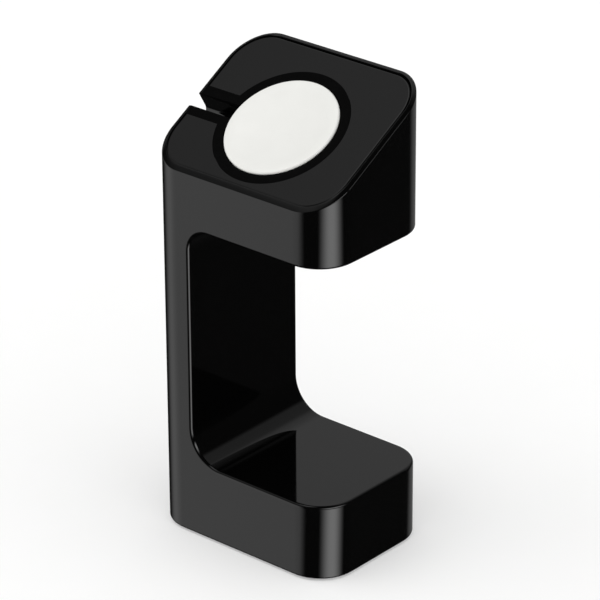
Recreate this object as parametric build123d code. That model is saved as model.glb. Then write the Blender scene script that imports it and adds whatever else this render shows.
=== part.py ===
"""Smartwatch charging dock: a C-shaped stand with a sloping head that holds a round charging puck.

Millimetres. +X runs from the column to the tips of the C, -Y is the low side of the head,
+Z is up. The origin lies under the middle of the stand, on the surface that it stands on.
"""
from build123d import *
from math import cos, radians, sin, tan
import os

# Outer form of the housing
body_length = 54.0
body_width = 38.0
corner_radius = 9.5
column_thickness = 12.8
base_height = 19.0
arm_height = 79.0
front_height = 93.0
head_slope = 30.0
lower_bend_radius = 8.5
upper_bend_radius = 6.0
bevel_width = 1.0
bevel_drop = 0.42
bevel_edge_radius = 0.25
gap_edge_radius = 0.8
foot_edge_radius = 0.6

# Shell and its two covers
wall = 2.4
rim = 1.5
lip_thickness = 1.6
head_cover_thickness = 1.6
bottom_cover_thickness = 2.0
cover_clearance = 0.15
cover_corner_radius = 3.0

# Plate let into the head's face inside its bevelled rim, and the soft liner set into the plate
head_rim = 1.05
plate_thickness = 1.0
plate_clearance = 0.15
plate_edge_radius = 0.5
liner_share = 0.65
liner_clearance = 0.1

# Cable way: a slot in the head's face, then a groove down the column's outer face
channel_width = 4.0
channel_wall = 1.6
cord_depth_in_head = 4.6
cord_depth_in_column = 2.4
nib_radius = 0.8
nib_bite = 0.5
nib_length = 3.0
nib_heights = (14.0, 40.0, 66.0, 90.0)

# Charging puck and the well that it drops into
puck_radius = 13.95
puck_height = 7.6
puck_proud = 0.4
puck_clearance = 0.2
case_wall = 0.8
case_flange = 1.6
case_flange_thickness = 0.6
cap_height = 1.3
cap_plug = 1.3
cap_plug_clearance = 0.1
cap_edge_radius = 0.5
cap_rim_width = 1.6
cap_dish = 1.3
back_thickness = 1.2
coil_inner_radius = 6.0
coil_clearance = 1.35
coil_thickness = 1.0
ferrite_overhang = 0.5
ferrite_thickness = 1.0
magnet_radius = 5.0
magnet_thickness = 2.4
board_clearance = 0.75
board_thickness = 0.8
chip_height = 0.5
gland_radius = 1.75
gland_bore_radius = 1.4
gland_length = 2.6
gland_clearance = 0.1
well_wall = 1.6
well_floor = 1.6
pad_thickness = 0.5
pad_inner_radius = 7.0
push_out_radius = 5.0

# Ballast, foot pad and fasteners
weight_thickness = 9.0
weight_gap = 1.0
weight_screw_inset = 9.8
foot_pad_thickness = 1.0
foot_pad_proud = 0.5
foot_pad_inset = 2.6
boss_radius = 2.8
boss_inset = 6.4
boss_web = 1.6
boss_height = 11.0
head_boss_radius = 2.4
head_boss_inset = 2.6
head_boss_height = 7.0
screw_clearance = 0.1
cover_screw = dict(head_radius=2.0, head_height=1.1, shank_radius=1.05, length=8.0)
weight_screw = dict(head_radius=2.6, head_height=1.2, shank_radius=1.4, length=7.0)
head_screw = dict(head_radius=1.8, head_height=1.0, shank_radius=0.95, length=6.5)

# Places that follow from the sizes
x_back = -body_length / 2
x_tip = body_length / 2
x_inner = x_back + column_thickness
z_foot = foot_pad_proud
z_base_top = z_foot + base_height
z_arm = z_foot + arm_height
slope = radians(head_slope)
clear_of_body = body_length
channel_radius = channel_width / 2
well_radius = puck_radius + puck_clearance
well_depth = puck_height + pad_thickness - puck_proud
puck_bottom = pad_thickness - well_depth
case_top = puck_proud - cap_height
cap_under = case_top - cap_plug
coil_outer_radius = puck_radius - case_wall - coil_clearance
board_radius = puck_radius - case_wall - board_clearance


def face_height(y):
    return z_foot + front_height + (y + body_width / 2) * tan(slope)


# The cord's line crosses the middle of the stand at its depth under the head's face, so the
# well's middle lies a little down the slope from the middle of that face.
seat_y = -cord_depth_in_head * sin(slope)
seat = Plane(
    origin=(0, seat_y, face_height(seat_y)), x_dir=(1, 0, 0), z_dir=(0, -sin(slope), cos(slope))
)
cord_turn_x = x_back + cord_depth_in_column
cord_turn_z = face_height(seat_y) - cord_depth_in_head * cos(slope)
channel_back = cord_turn_x + channel_radius + channel_wall

# The liner takes its share of the face's narrowest land, which is on the low side of the well
face_land = body_width / 2 - head_rim - plate_clearance + seat_y - well_radius * cos(slope)
liner_width = liner_share * face_land / cos(slope)


def plan(inset):
    return RectangleRounded(
        body_length - 2 * inset, body_width - 2 * inset, corner_radius - inset
    )


def prism(inset, bottom, under_face):
    """The stand's outline seen from above, cut off parallel to the head's sloping face."""
    reach = body_width / 2 + 1
    drop = under_face / cos(slope)
    side = make_face(
        Polyline(
            (-reach, bottom),
            (reach, bottom),
            (reach, face_height(reach) - drop),
            (-reach, face_height(-reach) - drop),
            close=True,
        )
    )
    upright = Pos(0, 0, bottom) * extrude(plan(inset), 2 * front_height)
    return upright & extrude(Plane.YZ * side, body_length, both=True)


def face_layer(inset, rise, thickness):
    """Everything inside the inset outline from this much over the head's face to this deep."""
    return prism(inset, z_arm, -rise) - prism(0, z_foot, thickness)


def gap(grow, grow_into_arm):
    """The C's gap, from the front, grown into the material round it."""
    low = z_base_top - grow
    high = z_arm + grow_into_arm
    left = x_inner - grow
    outline = make_face(
        Polyline(
            (clear_of_body, low),
            (clear_of_body, high),
            (left, high),
            (left, low),
            close=True,
        )
    )
    lower, upper = outline.vertices().group_by(Axis.X)[0].sort_by(Axis.Y)
    outline = fillet(lower, lower_bend_radius + grow)
    upper = outline.vertices().group_by(Axis.Y)[-1].sort_by(Axis.X)[0]
    outline = fillet(upper, upper_bend_radius + grow)
    return extrude(Plane.XZ * outline, body_width, both=True)


def outer_body():
    body = prism(0, z_foot, 0) - gap(0, 0)
    head_face = body.faces().sort_by(Axis.Z)[-1]
    body = chamfer(head_face.edges(), bevel_width, bevel_drop, reference=head_face)

    def foot_of_bevel(edge):
        depth = -seat.to_local_coords(edge @ 0.5).Z
        return bevel_drop * cos(slope) - 0.05 < depth < bevel_drop + 0.05

    body = fillet(body.edges().filter_by(foot_of_bevel), bevel_edge_radius)

    def round_gap(edge):
        box = edge.bounding_box()
        seam = box.size.Y > body_width / 2 and box.center().X < x_tip - 1 and box.size.X < 1
        return box.min.Z > z_base_top - 0.01 and box.max.Z < z_arm + 0.01 and not seam

    body = fillet(body.edges().filter_by(round_gap), gap_edge_radius)
    return fillet(body.faces().sort_by(Axis.Z)[0].edges(), foot_edge_radius)


def channel(radius, end_overrun):
    """Cable way as one solid: along the head to the column, an elbow, then down the column."""
    head_run = seat * Pos(0, 0, -cord_depth_in_head) * Rot(0, -90, 0)
    head_run *= raised(radius, end_overrun - x_back, 0)
    head_slot = seat * Pos(0, 0, -cord_depth_in_head)
    head_slot *= Box(
        end_overrun - x_back,
        2 * radius,
        2 * cord_depth_in_head,
        align=(Align.MAX, Align.CENTER, Align.MIN),
    )
    drop = cord_turn_z - z_foot + end_overrun
    column_run = Pos(cord_turn_x, 0) * raised(radius, drop, cord_turn_z - drop)
    column_slot = Pos(cord_turn_x, 0, cord_turn_z) * Box(
        cord_depth_in_column + end_overrun,
        2 * radius,
        drop,
        align=(Align.MAX, Align.CENTER, Align.MAX),
    )
    elbow = Pos(cord_turn_x, 0, cord_turn_z) * Sphere(radius)
    return head_run + head_slot + column_run + column_slot + elbow


def nibs():
    """Small half-round ribs in the groove's mouth, in pairs, that keep the cord in."""
    offset = channel_radius + nib_radius - nib_bite
    rib = Cylinder(nib_radius, nib_length)
    return Part() + [
        Pos(x_back + nib_radius, side * offset, z_foot + height) * rib
        for height in nib_heights
        for side in (-1, 1)
    ]


def head_cover_outline(inset):
    """The arm's end seen from above, from the column's bend to the tip, inset from its edge."""
    start = x_inner + upper_bend_radius + gap_edge_radius + inset - rim
    window = Pos((start + clear_of_body) / 2, 0) * Rectangle(clear_of_body - start, 2 * body_width)
    outline = plan(inset) & window
    return fillet(outline.vertices().group_by(Axis.X)[0], cover_corner_radius)


def bottom_screw_places():
    return [
        (side_x * (body_length / 2 - boss_inset), side_y * (body_width / 2 - boss_inset))
        for side_x in (-1, 1)
        for side_y in (-1, 1)
    ]


def head_screw_places():
    start = x_inner + upper_bend_radius + gap_edge_radius
    return [(start + head_boss_inset, 0), (x_tip - rim - head_boss_inset, 0)]


def weight_ends():
    return channel_back + weight_gap, x_tip - wall - weight_gap


def weight_screw_places():
    start, end = weight_ends()
    return [(start + weight_screw_inset, 0), (end - weight_screw_inset, 0)]


def raised(radius, height, bottom):
    return Pos(0, 0, bottom) * Cylinder(
        radius, height, align=(Align.CENTER, Align.CENTER, Align.MIN)
    )


def housing():
    shell = outer_body()
    cavity = prism(wall, z_foot - 1, wall)
    cavity -= gap(wall, head_cover_thickness + lip_thickness)

    # Well, cable way and bosses stand inside the shell and run into its walls
    inside = seat * raised(well_radius + well_wall, well_depth + well_floor - 0.1, -well_depth - well_floor)
    inside += channel(channel_radius + channel_wall, 0)
    boss_bottom = z_foot + bottom_cover_thickness
    for x, y in bottom_screw_places():
        inside += Pos(x, y) * raised(boss_radius, boss_height, boss_bottom)
        outward = 45 if x * y > 0 else -45
        web = Box(
            corner_radius, boss_web, boss_height, align=(Align.MIN, Align.CENTER, Align.MIN)
        )
        inside += Pos(x, y, boss_bottom) * Rot(0, 0, outward if x > 0 else outward + 180) * web
    head_boss_bottom = z_arm + head_cover_thickness
    for x, y in head_screw_places():
        inside += Pos(x, y) * raised(head_boss_radius, head_boss_height, head_boss_bottom)
    inside &= prism(wall / 2, z_foot, wall / 2)
    shell = shell - cavity + inside

    # Openings for the two covers, each with a lip that the cover rests on
    shell -= Pos(0, 0, z_foot - 1) * extrude(plan(rim), bottom_cover_thickness + 1)
    shell += channel_foot()
    shell -= Pos(0, 0, z_arm - 1) * extrude(head_cover_outline(rim), head_cover_thickness + 1)
    opening = Pos(0, 0, z_arm) * extrude(
        head_cover_outline(rim + lip_thickness), head_cover_thickness + lip_thickness + 0.1
    )
    for x, y in head_screw_places():
        opening -= Pos(x, y) * raised(head_boss_radius, 2 * head_boss_height, z_arm)
    shell -= opening

    # Recess for the plate, well with its push-out hole, cable way, pilot holes
    shell -= face_layer(head_rim, 1, plate_thickness)
    shell -= seat * raised(well_radius, 2 * well_depth, -well_depth)
    floor_overrun = well_floor + 1
    shell -= seat * raised(push_out_radius, well_depth + floor_overrun, -well_depth - floor_overrun)
    shell -= channel(channel_radius, 1)
    shell += nibs() & prism(0, z_foot, 0)
    for x, y in bottom_screw_places():
        shell -= Pos(x, y) * raised(
            cover_screw["shank_radius"] + screw_clearance, cover_screw["length"] + 1, z_foot
        )
    for x, y in head_screw_places():
        shell -= Pos(x, y) * raised(
            head_screw["shank_radius"] + screw_clearance, head_screw["length"] + 1, z_arm
        )
    return shell


def keyhole(radius, half_width):
    """Cutter across the head's face: a disc over the well and a strip along the slot."""
    depth = 2 * plate_thickness
    strip = Pos(0, 0, -depth) * Box(
        body_length, 2 * half_width, 2 * depth, align=(Align.MAX, Align.CENTER, Align.MIN)
    )
    return seat * (raised(radius, 2 * depth, -depth) + strip)


def head_plate():
    """Gloss plate round the liner, with a rounded outer edge."""
    plate = face_layer(head_rim + plate_clearance, 0, plate_thickness)
    top = plate.faces().filter_by(lambda face: face.normal_at().dot(seat.z_dir) > 0.99)
    plate = fillet(top.edges(), plate_edge_radius)
    reach = liner_width + liner_clearance
    return plate - keyhole(well_radius + reach, channel_radius + reach)


def slot_liner():
    """Keyhole-shaped soft liner round the well and along both sides of the slot."""
    liner = face_layer(head_rim + liner_clearance, 0, plate_thickness)
    liner &= keyhole(well_radius + liner_width, channel_radius + liner_width)
    liner -= seat * raised(well_radius, 2 * well_depth, -well_depth)
    return liner - channel(channel_radius, 1)


def channel_foot():
    """The groove's walls, carried down past the bottom cover to the housing's lower edge."""
    block = Pos(x_back + wall / 2, 0, z_foot) * Box(
        channel_back - x_back - wall / 2,
        channel_width + 2 * channel_wall,
        bottom_cover_thickness + 1,
        align=(Align.MIN, Align.CENTER, Align.MIN),
    )
    return block & prism(foot_edge_radius, z_foot, 0)


def countersunk(screw, depth_under_face, top):
    """Cutter for one screw in a cover that lies above its head: a cone and a clear hole."""
    head = screw["head_radius"] + screw_clearance
    shank = screw["shank_radius"] + screw_clearance
    cone = Pos(0, 0, depth_under_face) * Cone(
        head, shank, screw["head_height"], align=(Align.CENTER, Align.CENTER, Align.MIN)
    )
    return cone + raised(head, 1, depth_under_face - 1) + raised(shank, top, depth_under_face)


def screw_piece(screw, z):
    """Countersunk screw with a cross recess, head down, its face at height z."""
    body = Cone(
        screw["head_radius"],
        screw["shank_radius"],
        screw["head_height"],
        align=(Align.CENTER, Align.CENTER, Align.MIN),
    )
    body += raised(screw["shank_radius"], screw["length"], 0)
    tip = body.faces().sort_by(Axis.Z)[-1]
    body = chamfer(tip.edges(), screw["shank_radius"] * 0.4)
    arm = Box(
        screw["head_radius"] * 1.1,
        screw["head_radius"] * 0.28,
        screw["head_height"] * 0.7,
        align=(Align.CENTER, Align.CENTER, Align.MIN),
    )
    return Pos(0, 0, z) * (body - arm - Rot(0, 0, 90) * arm)


def head_cover():
    cover = Pos(0, 0, z_arm) * extrude(
        head_cover_outline(rim + cover_clearance), head_cover_thickness
    )
    for x, y in head_screw_places():
        cover -= Pos(x, y) * countersunk(head_screw, z_arm, head_cover_thickness + 1)
    return cover


def bottom_cover():
    cover = Pos(0, 0, z_foot) * extrude(plan(rim + cover_clearance), bottom_cover_thickness)
    notch_length = channel_back + cover_clearance - x_back
    cover -= Pos(x_back, 0, z_foot - 1) * Box(
        notch_length,
        channel_width + 2 * (channel_wall + cover_clearance),
        bottom_cover_thickness + 2,
        align=(Align.MIN, Align.CENTER, Align.MIN),
    )
    recess = foot_pad_thickness - foot_pad_proud
    cover -= Pos(0, 0, z_foot - 1) * extrude(foot_pad_outline(0), 1 + recess)
    seat_height = z_foot + recess
    for x, y in bottom_screw_places():
        cover -= Pos(x, y) * countersunk(cover_screw, seat_height, bottom_cover_thickness)
    for x, y in weight_screw_places():
        cover -= Pos(x, y) * countersunk(weight_screw, seat_height, bottom_cover_thickness)
    return cover


def foot_pad_outline(clearance):
    """The base's outline inset, with a bay round the groove's foot."""
    outline = plan(foot_pad_inset + clearance)
    bay = channel_back - x_back + rim + clearance
    width = channel_width + 2 * (channel_wall + rim + clearance)
    return outline - Pos(x_back + bay / 2, 0) * Rectangle(bay, width)


def foot_pad():
    return extrude(foot_pad_outline(cover_clearance), foot_pad_thickness)


def base_weight():
    start, end = weight_ends()
    width = body_width - 2 * (wall + weight_gap)
    bottom = z_foot + bottom_cover_thickness
    block = Pos((start + end) / 2, 0, bottom) * Box(
        end - start, width, weight_thickness, align=(Align.CENTER, Align.CENTER, Align.MIN)
    )
    block = fillet(block.edges().filter_by(Axis.Z), corner_radius - wall - weight_gap)
    block = chamfer(block.faces().sort_by(Axis.Z)[-1].edges(), 0.5)
    for x, y in bottom_screw_places():
        block -= Pos(x, y) * raised(boss_radius + weight_gap / 2, 2 * weight_thickness, bottom - 1)
    for x, y in weight_screw_places():
        block -= Pos(x, y) * raised(
            weight_screw["shank_radius"] + screw_clearance, weight_screw["length"] + 1, z_foot
        )
    return block


def turned(points):
    """Solid of revolution about the puck's axis from a closed outline of (radius, height)."""
    return revolve(Plane.XZ * make_face(Polyline(*points, close=True)), Axis.Z)


def puck_case():
    inner = puck_radius - case_wall
    lip = inner - case_flange
    flange_top = puck_bottom + case_flange_thickness
    ring = turned(
        [
            (lip, puck_bottom),
            (puck_radius, puck_bottom),
            (puck_radius, case_top),
            (inner, case_top),
            (inner, flange_top),
            (lip, flange_top),
        ]
    )
    lower_edge = ring.edges().group_by(Axis.Z)[0].sort_by(SortBy.RADIUS)[-1]
    ring = fillet(lower_edge, case_flange_thickness * 0.7)
    hole = Pos(0, 0, -cord_depth_in_head) * Rot(0, -90, 0) * raised(
        gland_radius + gland_clearance, 2 * puck_radius, 0
    )
    return seat * (ring - hole)


def puck_cap():
    """Cap with a plug that fits the case and a dish that a round back settles into."""
    plug = puck_radius - case_wall - cap_plug_clearance
    dish = puck_radius - cap_rim_width
    rise = cap_dish
    sphere_radius = (dish**2 + rise**2) / (2 * rise)
    cap = raised(puck_radius, cap_height, case_top) + raised(plug, cap_plug, cap_under)
    cap = fillet(cap.edges().group_by(Axis.Z)[-1], cap_edge_radius)
    dish_ball = Pos(0, 0, puck_proud - rise + sphere_radius) * Sphere(sphere_radius)
    return seat * (cap - dish_ball)


def puck_back():
    opening = puck_radius - case_wall - case_flange - cap_plug_clearance
    inner = puck_radius - case_wall - cap_plug_clearance
    flange_top = puck_bottom + case_flange_thickness
    step = back_thickness - case_flange_thickness
    return seat * (raised(opening, back_thickness, puck_bottom) + raised(inner, step, flange_top))


def puck_coil():
    turns = turned(
        [
            (coil_inner_radius, cap_under - coil_thickness),
            (coil_outer_radius, cap_under - coil_thickness),
            (coil_outer_radius, cap_under),
            (coil_inner_radius, cap_under),
        ]
    )
    return seat * fillet(turns.edges().group_by(Axis.Z)[0], coil_thickness * 0.3)


def puck_ferrite():
    top = cap_under - coil_thickness
    outer = raised(coil_outer_radius + ferrite_overhang, ferrite_thickness, top - ferrite_thickness)
    bore = raised(coil_inner_radius - ferrite_overhang, puck_height, puck_bottom)
    return seat * (outer - bore)


def puck_magnet():
    disc = raised(magnet_radius, magnet_thickness, cap_under - magnet_thickness)
    return seat * chamfer(disc.faces().sort_by(Axis.Z)[0].edges(), 0.3)


def puck_board():
    """Round board with its power parts on the underside, clear of the back."""
    top = cap_under - magnet_thickness
    under = top - board_thickness
    board = raised(board_radius, board_thickness, under)
    for angle, length, width in ((20, 4.0, 4.0), (100, 3.2, 2.4), (165, 2.4, 2.4), (260, 5.0, 2.6)):
        chip = Box(length, width, chip_height, align=(Align.CENTER, Align.CENTER, Align.MAX))
        board += Pos(0, 0, under) * Rot(0, 0, angle) * Pos(board_radius * 0.55, 0) * chip
    return seat * board


def puck_gland():
    start = puck_radius - case_wall
    bush = raised(gland_radius, gland_length, start) - raised(gland_bore_radius, gland_length, start)
    return seat * Pos(0, 0, -cord_depth_in_head) * Rot(0, -90, 0) * bush


def well_pad():
    outer = well_radius - puck_clearance
    ring = raised(outer, pad_thickness, -well_depth)
    return seat * (ring - raised(pad_inner_radius, pad_thickness, -well_depth))


pieces = {
    "housing": housing(),
    "head_plate": head_plate(),
    "slot_liner": slot_liner(),
    "head_cover": head_cover(),
    "bottom_cover": bottom_cover(),
    "foot_pad": foot_pad(),
    "base_weight": base_weight(),
    "well_pad": well_pad(),
    "puck_case": puck_case(),
    "puck_cap": puck_cap(),
    "puck_back": puck_back(),
    "puck_coil": puck_coil(),
    "puck_ferrite": puck_ferrite(),
    "puck_magnet": puck_magnet(),
    "puck_board": puck_board(),
    "puck_gland": puck_gland(),
}
screw_sets = (
    ("bottom_screw", cover_screw, bottom_screw_places(), z_foot + foot_pad_thickness - foot_pad_proud),
    ("weight_screw", weight_screw, weight_screw_places(), z_foot + foot_pad_thickness - foot_pad_proud),
    ("head_cover_screw", head_screw, head_screw_places(), z_arm),
)
for name, screw, places, z in screw_sets:
    for number, (x, y) in enumerate(places, start=1):
        pieces[f"{name}_{number}"] = Pos(x, y) * screw_piece(screw, z)

os.makedirs("parts", exist_ok=True)
for name, shape in pieces.items():
    export_step(shape, f"parts/{name}.step")
    print(f"{name:20s} solids {len(shape.solids())} volume {shape.volume:9.1f}")
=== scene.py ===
import math

import bmesh
import bpy
from mathutils import Matrix, Vector


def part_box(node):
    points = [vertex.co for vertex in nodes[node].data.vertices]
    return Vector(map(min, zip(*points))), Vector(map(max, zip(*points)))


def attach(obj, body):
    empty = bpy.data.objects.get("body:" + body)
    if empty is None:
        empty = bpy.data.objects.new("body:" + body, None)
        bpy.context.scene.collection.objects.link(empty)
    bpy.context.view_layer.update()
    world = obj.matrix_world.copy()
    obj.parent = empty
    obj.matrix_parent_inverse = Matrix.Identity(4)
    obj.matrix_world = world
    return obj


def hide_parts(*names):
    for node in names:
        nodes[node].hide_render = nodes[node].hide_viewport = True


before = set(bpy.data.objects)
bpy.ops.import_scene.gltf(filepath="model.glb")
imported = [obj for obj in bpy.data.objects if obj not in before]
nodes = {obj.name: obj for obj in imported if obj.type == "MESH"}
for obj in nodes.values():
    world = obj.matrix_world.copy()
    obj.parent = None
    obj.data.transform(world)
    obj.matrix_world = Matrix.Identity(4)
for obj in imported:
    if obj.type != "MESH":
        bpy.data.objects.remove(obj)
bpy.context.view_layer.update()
mm = 0.001
print("frame loaded,", len(nodes), "nodes")


def linear(hexColour):
    # sRGB hex to the linear values that shaders want
    parts = [int(hexColour[i : i + 2], 16) / 255 for i in (1, 3, 5)]
    straight = [c / 12.92 if c <= 0.04045 else ((c + 0.055) / 1.055) ** 2.4 for c in parts]
    return (*straight, 1.0)


def addObject(name, data):
    piece = bpy.data.objects.new(name, data)
    bpy.context.scene.collection.objects.link(piece)
    return piece


def meshFrom(form, name):
    mesh = bpy.data.meshes.new(name)
    form.to_mesh(mesh)
    form.free()
    return mesh


def plainResult(source, name):
    # what the source's modifiers make of it, as a plain mesh in its place
    seen = source.evaluated_get(bpy.context.evaluated_depsgraph_get())
    mesh = bpy.data.meshes.new_from_object(seen)
    mesh.name = name
    bpy.data.objects.remove(source)
    return addObject(name, mesh)


def addNode(tree, kind, settings=None, links=None):
    # settings go to the node's own options or, by name or number, to its sockets
    node = tree.nodes.new(kind)
    for key, value in (settings or {}).items():
        if isinstance(key, str) and hasattr(node, key):
            setattr(node, key, value)
        else:
            node.inputs[key].default_value = value
    for key, source in (links or {}).items():
        tree.links.new(source, node.inputs[key])
    return node


def newMaterial(name):
    material = bpy.data.materials.new(name)
    material.use_nodes = True
    material.node_tree.nodes.clear()
    return material, material.node_tree


def addNoise(tree, place, size, detail, roughness):
    # cloudy pattern whose patches are about as large as the size, in millimetres
    return addNode(
        tree, "ShaderNodeTexNoise",
        {"Scale": 1 / (size * mm), "Detail": detail, "Roughness": roughness},
        {"Vector": place.outputs["Object"]},
    )


def addTone(tree, first, second, share):
    # from the first colour to the second as the share goes from 0 to 1
    return addNode(
        tree, "ShaderNodeMix",
        {"data_type": "RGBA", 6: linear(first), 7: linear(second)}, {0: share},
    )


def addRelief(tree, height, source, invert=False):
    return addNode(
        tree, "ShaderNodeBump",
        {"Strength": 1.0, "Distance": height * mm, "invert": invert}, {"Height": source},
    )


def addShader(tree, settings, links):
    shader = addNode(tree, "ShaderNodeBsdfPrincipled", settings, links)
    addNode(tree, "ShaderNodeOutputMaterial", None, {"Surface": shader.outputs["BSDF"]})


# Every plain finish has three scales of detail: slow colour drift, rubbed or cloudy patches in
# the gloss, and the surface's own grain. Sizes and heights are in millimetres.
finishes = {
    "highGlossBlackAbs": dict(  # ABS from a mirror-polished mould: black depth, crisp reflections
        colour="#020202", drift="#040404", driftSize=30, rough=(0.03, 0.05), cloudSize=9,
        grain=14, height=0.004, ior=1.53,
    ),
    "sparkErodedBlackAbs": dict(  # ABS from a spark-eroded mould: even, dull, sandy sheen
        colour="#131314", drift="#1a1a1c", driftSize=12, rough=(0.5, 0.62), cloudSize=5,
        grain=0.35, height=0.02, ior=1.53,
    ),
    "blastMouldedBlackSilicone": dict(  # soft liner from a blasted mould: the deepest black, dull
        colour="#020202", drift="#040404", driftSize=4, rough=(0.62, 0.8), cloudSize=2,
        grain=0.4, height=0.008, ior=1.41, specular=0.1,
    ),
    "diePressedBlackRubber": dict(  # moulded rubber: dead matt, a little grey with dust
        colour="#1b1b1c", drift="#242425", driftSize=6, rough=(0.78, 0.9), cloudSize=3,
        grain=0.5, height=0.03, ior=1.52,
    ),
    "closedCellFoam": dict(  # sliced foam: open pores, no shine at all
        colour="#1f1f20", drift="#2b2b2c", driftSize=2, rough=(0.9, 0.98), cloudSize=1,
        grain=0.6, height=0.12, ior=1.45,
    ),
    "satinWhitePolycarbonate": dict(  # moulded polycarbonate: soft milky gloss
        colour="#eeeeea", drift="#e6e6e2", driftSize=9, rough=(0.2, 0.27), cloudSize=4,
        grain=5, height=0.004, ior=1.58,
    ),
    "mouldedWhiteElastomer": dict(  # TPE bush: satin white, slightly chalky
        colour="#e4e4e1", drift="#dadad6", driftSize=3, rough=(0.42, 0.52), cloudSize=1.5,
        grain=0.4, height=0.01, ior=1.5,
    ),
    "sinteredFerrite": dict(  # pressed and fired ferrite: dark ceramic, fine dull grain
        colour="#3a3a3d", drift="#47474b", driftSize=3, rough=(0.55, 0.7), cloudSize=1,
        grain=0.25, height=0.02, ior=1.7,
    ),
    "nickelPlatedNeodymium": dict(  # barrel-plated nickel: warm grey mirror with soft haze
        colour="#c9c4b8", drift="#bdb8ad", driftSize=4, rough=(0.14, 0.26), cloudSize=1.2,
        grain=1.2, height=0.003, metallic=1.0,
    ),
    "zincPlatedSteel": dict(  # electroplated zinc: bluish grey metal, slightly frosted
        colour="#a9acb0", drift="#9a9da3", driftSize=3, rough=(0.28, 0.4), cloudSize=1.5,
        grain=0.3, height=0.006, metallic=1.0,
    ),
}
# Octaves and roughness of each noise, and the part of the cloud's range that the gloss spans
noises = dict(drift=(3.0, 0.55), cloud=(4.0, 0.6), grain=(2.0, 0.5))
cloudSpan = (0.3, 0.7)


def makeFinish(name):
    look = finishes[name]
    material, tree = newMaterial(name)
    place = addNode(tree, "ShaderNodeTexCoord")
    drift = addNoise(tree, place, look["driftSize"], *noises["drift"])
    tone = addTone(tree, look["colour"], look["drift"], drift.outputs["Fac"])
    cloud = addNoise(tree, place, look["cloudSize"], *noises["cloud"])
    smooth, dull = look["rough"]
    gloss = addNode(
        tree, "ShaderNodeMapRange",
        {"From Min": cloudSpan[0], "From Max": cloudSpan[1], "To Min": smooth, "To Max": dull},
        {"Value": cloud.outputs["Fac"]},
    )
    grain = addNoise(tree, place, look["grain"], *noises["grain"])
    relief = addRelief(tree, look["height"], grain.outputs["Fac"])
    settings = {"Metallic": look.get("metallic", 0.0)}
    for key, socket in (("ior", "IOR"), ("specular", "Specular IOR Level")):
        if key in look:
            settings[socket] = look[key]
    addShader(
        tree, settings,
        {"Base Color": tone.outputs[2], "Roughness": gloss.outputs["Result"],
         "Normal": relief.outputs["Normal"]},
    )
    return material


made = {name: makeFinish(name) for name in finishes}
print("plain finishes made:", len(made))

# Deep-drawn and polished stainless: a bright metal whose fine lap lines run round the puck.
# The wave texture turns by 20 radians a unit, and the line is millimetres a radian.
steelCup = dict(
    colour="#c4c5c7", line=0.18, waveRadians=20, waver=0.6, detail=2.0, detailScale=3.0,
    rough=(0.1, 0.2), height=0.0015,
)
headTilt = math.radians(30)


def makeTurnedSteel():
    material, tree = newMaterial("polishedStainlessCup")
    low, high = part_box("puck_case")
    centre = (low + high) / 2
    place = addNode(tree, "ShaderNodeTexCoord")
    # turned so that the pattern's own Z is the puck's axis, with the puck's middle at its origin
    centred = addNode(
        tree, "ShaderNodeMapping",
        {"vector_type": "TEXTURE", "Location": centre, "Rotation": (headTilt, 0, 0)},
        {"Vector": place.outputs["Object"]},
    )
    rings = addNode(
        tree, "ShaderNodeTexWave",
        {"wave_type": "RINGS", "rings_direction": "Z",
         "Scale": 1 / (steelCup["waveRadians"] * steelCup["line"] * mm),
         "Distortion": steelCup["waver"], "Detail": steelCup["detail"],
         "Detail Scale": steelCup["detailScale"]},
        {"Vector": centred.outputs["Vector"]},
    )
    smooth, dull = steelCup["rough"]
    gloss = addNode(
        tree, "ShaderNodeMapRange", {"To Min": smooth, "To Max": dull},
        {"Value": rings.outputs["Fac"]},
    )
    relief = addRelief(tree, steelCup["height"], rings.outputs["Fac"])
    addShader(
        tree, {"Base Color": linear(steelCup["colour"]), "Metallic": 1.0},
        {"Roughness": gloss.outputs["Result"], "Normal": relief.outputs["Normal"]},
    )
    return material


made["polishedStainlessCup"] = makeTurnedSteel()

# Enamelled copper wire: warm metal under a clear varnish; the varnish is the coat
wire = dict(
    colour="#b8693d", dark="#9c5530", patch=1.5, noise=(3.0, 0.5), rough=0.3,
    varnish=0.6, varnishRough=0.08,
)


def makeEnamelledWire():
    material, tree = newMaterial("enamelledCopperWire")
    place = addNode(tree, "ShaderNodeTexCoord")
    patch = addNoise(tree, place, wire["patch"], *wire["noise"])
    tone = addTone(tree, wire["colour"], wire["dark"], patch.outputs["Fac"])
    addShader(
        tree,
        {"Metallic": 1.0, "Roughness": wire["rough"], "Coat Weight": wire["varnish"],
         "Coat Roughness": wire["varnishRough"]},
        {"Base Color": tone.outputs[2]},
    )
    return material


made["enamelledCopperWire"] = makeEnamelledWire()

# Glass-epoxy board under green solder mask: glossy lacquer, lighter where copper lies under it
board = dict(
    mask="#0f4a26", copper="#1c6a38", track=1.1, trackEdge=(0.08, 0.14), step=0.03, rough=0.32
)


def makeSolderMask():
    material, tree = newMaterial("solderMaskedBoard")
    place = addNode(tree, "ShaderNodeTexCoord")
    tracks = addNode(
        tree, "ShaderNodeTexVoronoi",
        {"feature": "DISTANCE_TO_EDGE", "distance": "EUCLIDEAN",
         "Scale": 1 / (board["track"] * mm)},
        {"Vector": place.outputs["Object"]},
    )
    inked = addNode(
        tree, "ShaderNodeMapRange",
        {"From Min": board["trackEdge"][0], "From Max": board["trackEdge"][1]},
        {"Value": tracks.outputs["Distance"]},
    )
    tone = addTone(tree, board["copper"], board["mask"], inked.outputs["Result"])
    relief = addRelief(tree, board["step"], inked.outputs["Result"], invert=True)
    addShader(
        tree, {"Roughness": board["rough"]},
        {"Base Color": tone.outputs[2], "Normal": relief.outputs["Normal"]},
    )
    return material


made["solderMaskedBoard"] = makeSolderMask()
print("all finishes made:", len(made))

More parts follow.
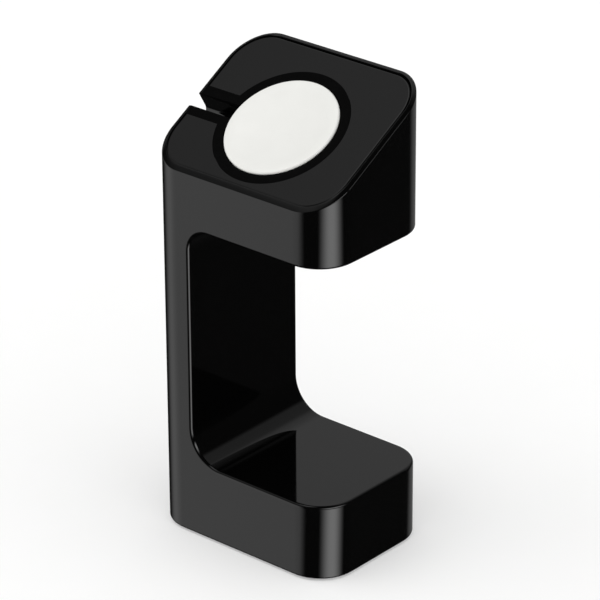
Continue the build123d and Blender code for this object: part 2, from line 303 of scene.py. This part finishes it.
# Which finish each moulded or machined part takes, and a slot name for it
finishOf = {
    "housing": ("highGlossBlackAbs", "shell_black"),
    "head_plate": ("highGlossBlackAbs", "shell_black"),
    "slot_liner": ("blastMouldedBlackSilicone", "liner_black"),
    "head_cover": ("sparkErodedBlackAbs", "cover_black"),
    "bottom_cover": ("sparkErodedBlackAbs", "cover_black"),
    "foot_pad": ("diePressedBlackRubber", "foot_rubber"),
    "base_weight": ("zincPlatedSteel", "ballast_steel"),
    "well_pad": ("closedCellFoam", "foam_black"),
    "puck_case": ("polishedStainlessCup", "puck_steel"),
    "puck_cap": ("satinWhitePolycarbonate", "puck_white"),
    "puck_back": ("satinWhitePolycarbonate", "puck_white"),
    "puck_ferrite": ("sinteredFerrite", "ferrite_grey"),
    "puck_magnet": ("nickelPlatedNeodymium", "magnet_nickel"),
    "puck_board": ("solderMaskedBoard", "board_green"),
    "puck_gland": ("mouldedWhiteElastomer", "gland_white"),
}
smoothing = dict(mergeDistance=0.0005, sharpAngle=32)


def rideOnStand(piece, slotName, *replaced):
    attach(piece, "root")
    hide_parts(*replaced)


def smoothCopy(node, finish):
    # merged copy of the moulding: its rounds shade as curves, its true edges stay crisp
    form = bmesh.new()
    form.from_mesh(nodes[node].data)
    bmesh.ops.remove_doubles(form, verts=form.verts, dist=smoothing["mergeDistance"] * mm)
    mesh = meshFrom(form, node + "_draft")
    for name in ("custom_normal", "sharp_face", "sharp_edge"):
        if name in mesh.attributes:
            mesh.attributes.remove(mesh.attributes[name])
    mesh.shade_smooth()
    mesh.set_sharp_from_angle(angle=math.radians(smoothing["sharpAngle"]))
    draft = addObject(node + "_draft", mesh)
    weighted = draft.modifiers.new("weighted", "WEIGHTED_NORMAL")
    weighted.keep_sharp = True
    piece = plainResult(draft, node + "_smooth")
    piece.data.materials.clear()
    piece.data.materials.append(made[finish])
    return piece


for node, (finish, slotName) in finishOf.items():
    rideOnStand(smoothCopy(node, finish), slotName, node)
print("moulded parts dressed:", len(finishOf))


def newTree(name, sockets):
    tree = bpy.data.node_groups.new(name, "GeometryNodeTree")
    for way in ("INPUT", "OUTPUT"):
        tree.interface.new_socket("Geometry", in_out=way, socket_type="NodeSocketGeometry")
    for label, kind in sockets:
        tree.interface.new_socket(label, in_out="INPUT", socket_type=kind)
    return tree, addNode(tree, "NodeGroupInput")


def finishTree(tree, geometry, material):
    # instances made real, in the given material
    real = addNode(tree, "GeometryNodeRealizeInstances", None, {"Geometry": geometry})
    dressed = addNode(
        tree, "GeometryNodeSetMaterial", None,
        {"Geometry": real.outputs["Geometry"], "Material": material},
    )
    addNode(tree, "NodeGroupOutput", None, {"Geometry": dressed.outputs["Geometry"]})


def attachTree(source, tree, values):
    modifier = source.modifiers.new(tree.name, "NODES")
    modifier.node_group = tree
    for item in tree.interface.items_tree:
        if item.item_type == "SOCKET" and item.in_out == "INPUT" and item.name in values:
            modifier[item.identifier] = values[item.name]


# Flat pancake winding under the cap: one wire wound outwards, turn beside turn, in two layers
winding = dict(turns=11, wireRadius=0.235, inner=6.3, outer=11.5, stepsPerTurn=72, wireSides=8)


def makeWinding():
    tree, given = newTree(
        "pancakeWinding",
        [("Turns", "NodeSocketFloat"), ("Inner radius", "NodeSocketFloat"),
         ("Outer radius", "NodeSocketFloat"), ("Wire radius", "NodeSocketFloat"),
         ("Steps per turn", "NodeSocketInt"), ("Wire", "NodeSocketMaterial")],
    )
    spiral = addNode(
        tree, "GeometryNodeCurveSpiral", {"Height": 0.0},
        {"Resolution": given.outputs["Steps per turn"], "Rotations": given.outputs["Turns"],
         "Start Radius": given.outputs["Inner radius"],
         "End Radius": given.outputs["Outer radius"]},
    )
    section = addNode(
        tree, "GeometryNodeCurvePrimitiveCircle", {"Resolution": winding["wireSides"]},
        {"Radius": given.outputs["Wire radius"]},
    )
    tube = addNode(
        tree, "GeometryNodeCurveToMesh", {"Fill Caps": True},
        {"Curve": spiral.outputs["Curve"], "Profile Curve": section.outputs["Curve"]},
    )
    lift = addNode(tree, "ShaderNodeCombineXYZ", None, {"Z": given.outputs["Wire radius"]})
    drop = addNode(
        tree, "ShaderNodeVectorMath", {"operation": "SCALE", "Scale": -1.0},
        {0: lift.outputs["Vector"]},
    )
    layers = addNode(tree, "GeometryNodeJoinGeometry")
    for shift in (lift, drop):
        layer = addNode(
            tree, "GeometryNodeTransform", None,
            {"Geometry": tube.outputs["Mesh"], "Translation": shift.outputs["Vector"]},
        )
        tree.links.new(layer.outputs["Geometry"], layers.inputs[0])
    finishTree(tree, layers.outputs["Geometry"], given.outputs["Wire"])
    source = addObject("winding_source", bpy.data.meshes.new("winding_source"))
    attachTree(
        source, tree,
        {"Turns": float(winding["turns"]), "Inner radius": winding["inner"] * mm,
         "Outer radius": winding["outer"] * mm, "Wire radius": winding["wireRadius"] * mm,
         "Steps per turn": winding["stepsPerTurn"], "Wire": made["enamelledCopperWire"]},
    )
    piece = plainResult(source, "coil_winding")
    low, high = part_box("puck_coil")
    centre = (low + high) / 2
    piece.data.transform(Matrix.Translation(centre) @ Matrix.Rotation(headTilt, 4, "X"))
    piece.data.shade_smooth()
    return piece


rideOnStand(makeWinding(), "coil_copper", "puck_coil")
print("coil wound")

# Countersunk self-tapping screws: cross recess, rolled coarse thread, blunt tip
screwSets = {
    "bottom_screw": dict(
        count=4, head=2.0, headHeight=1.1, shank=1.05, length=8.0, pitch=0.9, thread=0.16
    ),
    "weight_screw": dict(
        count=2, head=2.6, headHeight=1.2, shank=1.4, length=7.0, pitch=0.7, thread=0.2
    ),
    "head_cover_screw": dict(
        count=2, head=1.8, headHeight=1.0, shank=0.95, length=6.5, pitch=0.8, thread=0.14
    ),
}
# Rings and cross are shares of the head's radius or height; the run-out is a share of the pitch
screwDetail = dict(
    sides=28, stepsPerPitch=6, sharpAngle=40,
    faceRing=0.62, rimRing=0.97, rimHeight=0.12,
    crestSlope=4.2, runOut=0.8, tipStart=0.15, tipTaper=0.3,
    recessDepth=0.62, recessReach=0.55, recessWidth=0.15, recessTaper=0.62,
)
firstSeed = 11


def screwRings(size):
    # outline in rings of (radius, height): the head, then a shank whose radius follows a helix
    sides, pitch = screwDetail["sides"], size["pitch"]
    core = size["shank"] - size["thread"]
    outline = [
        (size["head"] * screwDetail["faceRing"], 0.0),
        (size["head"] * screwDetail["rimRing"], 0.0),
        (size["head"], size["headHeight"] * screwDetail["rimHeight"]),
        (size["shank"], size["headHeight"]),
    ]
    rings = [[spot] * sides for spot in outline]
    threaded = size["length"] - size["headHeight"]
    rows = int(threaded / pitch * screwDetail["stepsPerPitch"])
    for row in range(1, rows + 1):
        height = size["headHeight"] + threaded * row / rows
        left = (size["length"] - height) / (pitch * screwDetail["runOut"])
        fade = min(1.0, left + screwDetail["tipStart"])
        taper = (1 - screwDetail["tipTaper"]) + screwDetail["tipTaper"] * fade
        ring = []
        for side in range(sides):
            turn = (height / pitch - side / sides) % 1.0
            crest = max(0.0, 1 - abs(turn - 0.5) * screwDetail["crestSlope"])
            ring.append(((core + size["thread"] * crest) * taper, height))
        rings.append(ring)
    return rings


def crossOutline(size):
    reach = size["head"] * screwDetail["recessReach"]
    half = size["head"] * screwDetail["recessWidth"]
    arm = ((reach, -half), (reach, half), (half, half))
    corners = []
    for quarter in range(4):
        turn = Matrix.Rotation(math.pi / 2 * quarter, 3, "Z")
        corners += [turn @ Vector((x, y, 0)) for x, y in arm]
    return corners


def joinRings(form, lower, upper):
    # one band of faces, and the edges of its lower ring
    count = len(lower)
    pairs = [(s, (s + 1) % count) for s in range(count)]
    for s, t in pairs:
        form.faces.new((lower[s], lower[t], upper[t], upper[s]))
    return [form.edges.get((lower[s], lower[t])) for s, t in pairs]


def makeScrewPattern(kind, size):
    # face of the head at z = 0, tip up
    form = bmesh.new()
    step = 2 * math.pi / screwDetail["sides"]
    points = [
        [
            form.verts.new((r * math.cos(step * s), r * math.sin(step * s), z))
            for s, (r, z) in enumerate(ring)
        ]
        for ring in screwRings(size)
    ]
    bands = [joinRings(form, lower, upper) for lower, upper in zip(points, points[1:])]
    form.faces.new(points[-1])
    # the cross is four slots that fall to one small floor
    corners = crossOutline(size)
    taper = screwDetail["recessTaper"]
    depth = size["headHeight"] * screwDetail["recessDepth"]
    rim = [form.verts.new(p) for p in corners]
    floor = [form.verts.new(Vector((p.x * taper, p.y * taper, depth))) for p in corners]
    mouth = joinRings(form, rim, floor)
    form.faces.new(floor)
    bmesh.ops.triangle_fill(form, edges=bands[0] + mouth, use_beauty=True)
    bmesh.ops.recalc_face_normals(form, faces=form.faces)
    mesh = meshFrom(form, kind + "_pattern")
    mesh.shade_smooth()
    mesh.set_sharp_from_angle(angle=math.radians(screwDetail["sharpAngle"]))
    return addObject(kind + "_pattern", mesh)


def makeScrewTree():
    tree, given = newTree(
        "driveScrews",
        [("Screw", "NodeSocketObject"), ("Seed", "NodeSocketInt"),
         ("Metal", "NodeSocketMaterial")],
    )
    screw = addNode(
        tree, "GeometryNodeObjectInfo", {"transform_space": "ORIGINAL"},
        {"Object": given.outputs["Screw"]},
    )
    spots = addNode(
        tree, "GeometryNodeMeshToPoints", None, {"Mesh": given.outputs["Geometry"]}
    )
    # each screw stops its cross at an angle of its own
    stop = addNode(
        tree, "FunctionNodeRandomValue",
        {"data_type": "FLOAT", "Min": 0.0, "Max": math.pi / 2},
        {"Seed": given.outputs["Seed"]},
    )
    turn = addNode(tree, "ShaderNodeCombineXYZ", None, {"Z": stop.outputs[1]})
    driven = addNode(
        tree, "GeometryNodeInstanceOnPoints", None,
        {"Points": spots.outputs["Points"], "Instance": screw.outputs["Geometry"],
         "Rotation": turn.outputs["Vector"]},
    )
    finishTree(tree, driven.outputs["Instances"], given.outputs["Metal"])
    return tree


screwTree = makeScrewTree()
for number, (kind, size) in enumerate(screwSets.items()):
    names = [f"{kind}_{n}" for n in range(1, size["count"] + 1)]
    spots = []
    for name in names:
        low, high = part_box(name)
        spots.append(((low.x + high.x) / 2, (low.y + high.y) / 2, low.z))
    marks = bpy.data.meshes.new(kind + "_marks")
    marks.from_pydata(spots, [], [])
    source = addObject(kind + "_source", marks)
    sized = {key: value * mm for key, value in size.items() if key != "count"}
    pattern = makeScrewPattern(kind, sized)
    attachTree(
        source, screwTree,
        {"Screw": pattern, "Seed": firstSeed + number, "Metal": made["zincPlatedSteel"]},
    )
    piece = plainResult(source, kind + "_set")
    bpy.data.objects.remove(pattern)
    rideOnStand(piece, "screw_steel", *names)
print("screws driven:", sum(size["count"] for size in screwSets.values()))

# Table that keeps the shadow: metres, fibre patches a metre, and the share of plain white
table = dict(size=4.0, colour="#fdfdfc", fibres=60.0, fibreDetail=2.0, rough=0.5, white=0.25)


def makeTable():
    # pale matt board; the gloss mirrors the studio's cards in its place
    material, tree = newMaterial("paleMattTable")
    place = addNode(tree, "ShaderNodeTexCoord")
    fibre = addNode(
        tree, "ShaderNodeTexNoise",
        {"Scale": table["fibres"], "Detail": table["fibreDetail"]},
        {"Vector": place.outputs["Object"]},
    )
    tone = addTone(tree, table["colour"], "#ffffff", fibre.outputs["Fac"])
    matt = addNode(
        tree, "ShaderNodeBsdfDiffuse", {"Roughness": table["rough"]}, {"Color": tone.outputs[2]}
    )
    # the camera sees part of the board as plain white, so the shadow stays but is light
    ray = addNode(tree, "ShaderNodeLightPath")
    share = addNode(
        tree, "ShaderNodeMath", {"operation": "MULTIPLY", 1: table["white"]},
        {0: ray.outputs["Is Camera Ray"]},
    )
    white = addNode(tree, "ShaderNodeEmission", {"Color": (1, 1, 1, 1), "Strength": 1.0})
    ground = addNode(
        tree, "ShaderNodeMixShader", None,
        {0: share.outputs[0], 1: matt.outputs["BSDF"], 2: white.outputs["Emission"]},
    )
    addNode(tree, "ShaderNodeOutputMaterial", None, {"Surface": ground.outputs["Shader"]})
    form = bmesh.new()
    bmesh.ops.create_grid(form, x_segments=1, y_segments=1, size=table["size"] / 2)
    mesh = meshFrom(form, "pale_table")
    mesh.materials.append(material)
    piece = addObject("pale_table", mesh)
    piece.visible_glossy = False


makeTable()

# Even room light, one weak wide sun, and the dark that the gloss mirrors between the cards
studio = dict(room=0.97, sun=0.35, sunTurn=-150, sunHeight=52, sunSpread=38, dark=0.023)
# White cards round the object, only mirrored, in degrees: turn is round from +X, rise is up from
# level, and each edge has a softness
leftTurn = dict(turn=(-176, -103), turnSoft=(44, 26))
highTurn = dict(turn=(140, -110), turnSoft=(40, 60))
cards = {
    "leftFront": dict(leftTurn, rise=(-36, 20), riseSoft=(10, 8), level=0.65),
    "leftFrontTop": dict(leftTurn, rise=(-20, 20), riseSoft=(50, 8), level=0.39),
    "rightStrip": dict(
        turn=(-38.5, 3), turnSoft=(37, 36), rise=(-50, -8), riseSoft=(20, 16), level=3.0
    ),
    "rightStripTop": dict(
        turn=(-38.5, 14), turnSoft=(37, 36), rise=(15, 36), riseSoft=(12, 20), level=3.4
    ),
    "backLow": dict(
        turn=(74, 133), turnSoft=(20, 24), rise=(-32, 0), riseSoft=(8, 20), level=0.22
    ),
    "backHigh": dict(
        turn=(99, 150), turnSoft=(20, 60), rise=(10, 78), riseSoft=(30, 30), level=0.37
    ),
    "farRight": dict(
        turn=(58, 99), turnSoft=(10, 20), rise=(18, 78), riseSoft=(14, 30), level=0.2
    ),
    "highLeft": dict(highTurn, rise=(50, 86), riseSoft=(56, 8), level=0.58),
    "overhead": dict(highTurn, rise=(65, 85), riseSoft=(14, 6), level=0.7),
}


def addCard(tree, turned, raised, card):
    # one soft-edged panel of light by direction: two soft steps round and two up, multiplied
    low, high = (math.radians(angle) for angle in card["turn"])
    if high < low:
        high += 2 * math.pi
    middle, half = (low + high) / 2, (high - low) / 2
    shift = addNode(
        tree, "ShaderNodeMath", {"operation": "SUBTRACT", 1: middle}, {0: turned}
    )
    across = addNode(
        tree, "ShaderNodeMath", {"operation": "WRAP", 1: math.pi, 2: -math.pi},
        {0: shift.outputs[0]},
    )
    rise = tuple(math.radians(angle) for angle in card["rise"])
    steps = [(across.outputs[0], end, soft) for end, soft in zip((-half, half), card["turnSoft"])]
    steps += [(raised, end, soft) for end, soft in zip(rise, card["riseSoft"])]
    topSetting, topLink = {"To Max": card["level"]}, {}
    for (source, end, soft), sign in zip(steps, (1, -1, 1, -1)):
        reach = sign * math.radians(soft) / 2
        step = addNode(
            tree, "ShaderNodeMapRange",
            {"interpolation_type": "SMOOTHSTEP", "From Min": end - reach, "From Max": end + reach,
             **topSetting},
            {"Value": source, **topLink},
        )
        topSetting, topLink = {}, {"To Max": step.outputs["Result"]}
    return step.outputs["Result"]


def makeStudio():
    world = bpy.data.worlds.new("softStudio")
    bpy.context.scene.world = world
    world.use_nodes = True
    tree = world.node_tree
    tree.nodes.clear()
    ray = addNode(tree, "ShaderNodeLightPath")
    way = addNode(tree, "ShaderNodeTexCoord")
    parts = addNode(
        tree, "ShaderNodeSeparateXYZ", None, {"Vector": way.outputs["Generated"]}
    )
    turned = addNode(
        tree, "ShaderNodeMath", {"operation": "ARCTAN2"},
        {0: parts.outputs["Y"], 1: parts.outputs["X"]},
    )
    raised = addNode(
        tree, "ShaderNodeMath", {"operation": "ARCSINE"}, {0: parts.outputs["Z"]}
    )
    mirrored = addNode(tree, "ShaderNodeValue").outputs[0]
    mirrored.default_value = studio["dark"]
    for card in cards.values():
        panel = addCard(tree, turned.outputs[0], raised.outputs[0], card)
        both = addNode(tree, "ShaderNodeMath", {"operation": "ADD"}, {0: panel, 1: mirrored})
        mirrored = both.outputs[0]
    seen = addNode(
        tree, "ShaderNodeMapRange", {"To Min": studio["room"], "To Max": 1.0},
        {"Value": ray.outputs["Is Camera Ray"]},
    )
    strength = addNode(
        tree, "ShaderNodeMix", {"data_type": "FLOAT"},
        {0: ray.outputs["Is Glossy Ray"], 2: seen.outputs["Result"], 3: mirrored},
    )
    glow = addNode(
        tree, "ShaderNodeBackground", {"Color": (1, 1, 1, 1)}, {"Strength": strength.outputs[0]}
    )
    addNode(tree, "ShaderNodeOutputWorld", None, {"Surface": glow.outputs["Background"]})


def makeSun():
    lamp = bpy.data.lights.new("softKey", "SUN")
    lamp.energy = studio["sun"]
    lamp.angle = math.radians(studio["sunSpread"])
    key = addObject("softKey", lamp)
    turn, height = math.radians(studio["sunTurn"]), math.radians(studio["sunHeight"])
    toLamp = Vector(
        (math.cos(height) * math.cos(turn), math.cos(height) * math.sin(turn), math.sin(height))
    )
    key.rotation_euler = toLamp.to_track_quat("Z", "Y").to_euler()
    key.visible_glossy = False


makeStudio()
makeSun()
print("studio lit")

# Long lens, three quarters from the right, a little above: degrees, millimetres and pixels;
# only the near clip is in metres
view = dict(
    turn=40.19, height=25.39, distance=870.52, middle=(-5.0, 0.0, 40.5), right=16.42, up=15.31,
    pixelsOfFocus=3704.89, framePixels=600, centrePixel=343.60, sensor=36, clipStart=0.01,
)


def makeCamera():
    turn, height = math.radians(view["turn"]), math.radians(view["height"])
    flat = math.cos(height)
    back = Vector((math.sin(turn) * flat, -math.cos(turn) * flat, math.sin(height)))
    right = Vector((math.cos(turn), math.sin(turn), 0))
    up = back.cross(right)
    place = Vector(view["middle"]) + back * view["distance"]
    place += right * view["right"] + up * view["up"]
    lens = bpy.data.cameras.new("camera")
    lens.sensor_width = view["sensor"]
    lens.lens = view["pixelsOfFocus"] / view["framePixels"] * lens.sensor_width
    lens.shift_x = (view["framePixels"] / 2 - view["centrePixel"]) / view["framePixels"]
    lens.clip_start = view["clipStart"]
    camera = addObject("camera", lens)
    turned = Matrix((right, up, back)).transposed().to_4x4()
    camera.matrix_world = Matrix.Translation(place * mm) @ turned
    bpy.context.scene.camera = camera


makeCamera()
bpy.context.scene.view_settings.view_transform = "Standard"
print("camera set")
